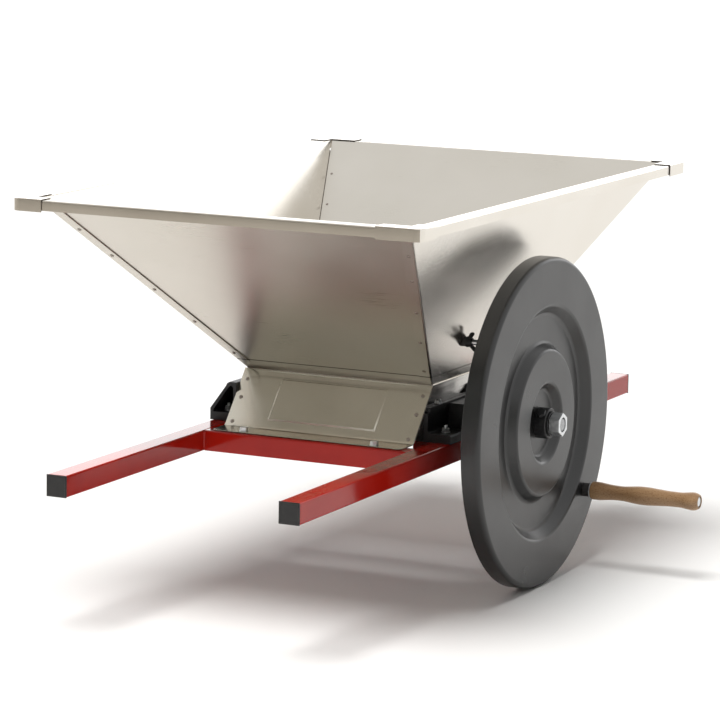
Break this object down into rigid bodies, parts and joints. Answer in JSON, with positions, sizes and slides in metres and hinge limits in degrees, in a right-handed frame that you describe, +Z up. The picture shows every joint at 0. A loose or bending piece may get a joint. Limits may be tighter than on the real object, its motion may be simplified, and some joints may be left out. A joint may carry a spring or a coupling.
{
  "type": "apple scratter",
  "caption": "Hand-cranked fruit mill: a wide sheet hopper over a toothed drum, on two rails, with a large flywheel and a wooden crank grip.",
  "frame": {"origin": "middle of the plane of the two rails' undersides, straight below the main shaft, where the mill rests on a tub's rim", "axes": "+X along the main shaft towards the flywheel, +Y along the rails away from the front plate, +Z up"},
  "size_m": [0.7765, 1.1546, 0.5685],
  "materials": {
    "red_paint": "gloss red paint",
    "black_plastic": "matt black",
    "stainless": "satin stainless sheet",
    "polished": "polished stainless sheet",
    "black_casting": "satin black paint",
    "wheel_black": "satin black paint",
    "zinc": "bright zinc",
    "shaft_steel": "turned steel",
    "drum_aluminium": "plain aluminium",
    "bronze": "plain bronze",
    "beech": "varnished"
  },
  "bodies": {
    "frame": {"rail_right": "red_paint", "rail_left": "red_paint", "cross_tube_rear": "red_paint", "cross_tube_front": "red_paint", "rail_plug_front_right": "black_plastic", "rail_plug_front_left": "black_plastic", "rail_plug_rear_right": "black_plastic", "rail_plug_rear_left": "black_plastic", "hopper_front": "stainless", "hopper_rear": "stainless", "hopper_right": "stainless", "hopper_left": "stainless", "corner_cap_front_right": "stainless", "corner_cap_front_left": "stainless", "corner_cap_rear_right": "stainless", "corner_cap_rear_left": "stainless", "apron_front": "stainless", "apron_rear": "stainless", "chamber_side_right": "polished", "chamber_side_left": "polished", "side_casting_right": "black_casting", "side_casting_left": "black_casting", "foot_stud_front_right": "zinc", "foot_stud_front_left": "zinc", "foot_stud_rear_right": "zinc", "foot_stud_rear_left": "zinc", "bearing_bush_right": "bronze", "bearing_bush_left": "bronze", "comb_plate_front": "stainless", "comb_plate_rear": "stainless", "flap_rod": "zinc"},
    "rotor": {"main_shaft": "shaft_steel", "drum_body": "drum_aluminium", "drum_blade_1": "polished", "drum_blade_2": "polished", "drum_blade_3": "polished", "drum_blade_4": "polished", "drum_blade_5": "polished", "drum_blade_6": "polished", "drum_blade_7": "polished", "drum_blade_8": "polished", "drum_key": "shaft_steel", "drum_end_disc_right": "polished", "drum_end_disc_left": "polished", "retaining_collar": "zinc", "flywheel": "wheel_black", "hub_collar": "black_casting", "hub_set_bolt": "black_casting", "hub_washer": "black_casting", "hub_nut": "zinc", "crank_spacer": "black_plastic", "crank_washer": "zinc", "crank_spindle": "zinc", "crank_spindle_nut": "zinc"},
    "grip": {"crank_grip": "beech"},
    "flap": {"feed_flap": "stainless"},
    "wing_nut_right_body": {"wing_nut_right": "black_plastic"},
    "wing_nut_left_body": {"wing_nut_left": "black_plastic"}
  },
  "joints": [
    {"name": "main_shaft_turn", "type": "hinge", "parent": "frame", "child": "rotor", "pos_m": [0, 0, 0.052], "axis": [1, 0, 0], "continuous": true},
    {"name": "crank_grip_spin", "type": "hinge", "parent": "rotor", "child": "grip", "pos_m": [0.3855, 0.14792, -0.06994], "axis": [1, 0, 0], "continuous": true},
    {"name": "flap_swing", "type": "hinge", "parent": "frame", "child": "flap", "pos_m": [0, -0.048, 0.167], "axis": [1, 0, 0], "range_deg": [-40, 50]},
    {"name": "wing_nut_right_turn", "type": "hinge", "parent": "frame", "child": "wing_nut_right_body", "pos_m": [0.188, -0.048, 0.167], "axis": [1, 0, 0], "continuous": true},
    {"name": "wing_nut_left_turn", "type": "hinge", "parent": "frame", "child": "wing_nut_left_body", "pos_m": [-0.188, -0.048, 0.167], "axis": [1, 0, 0], "continuous": true}
  ]
}
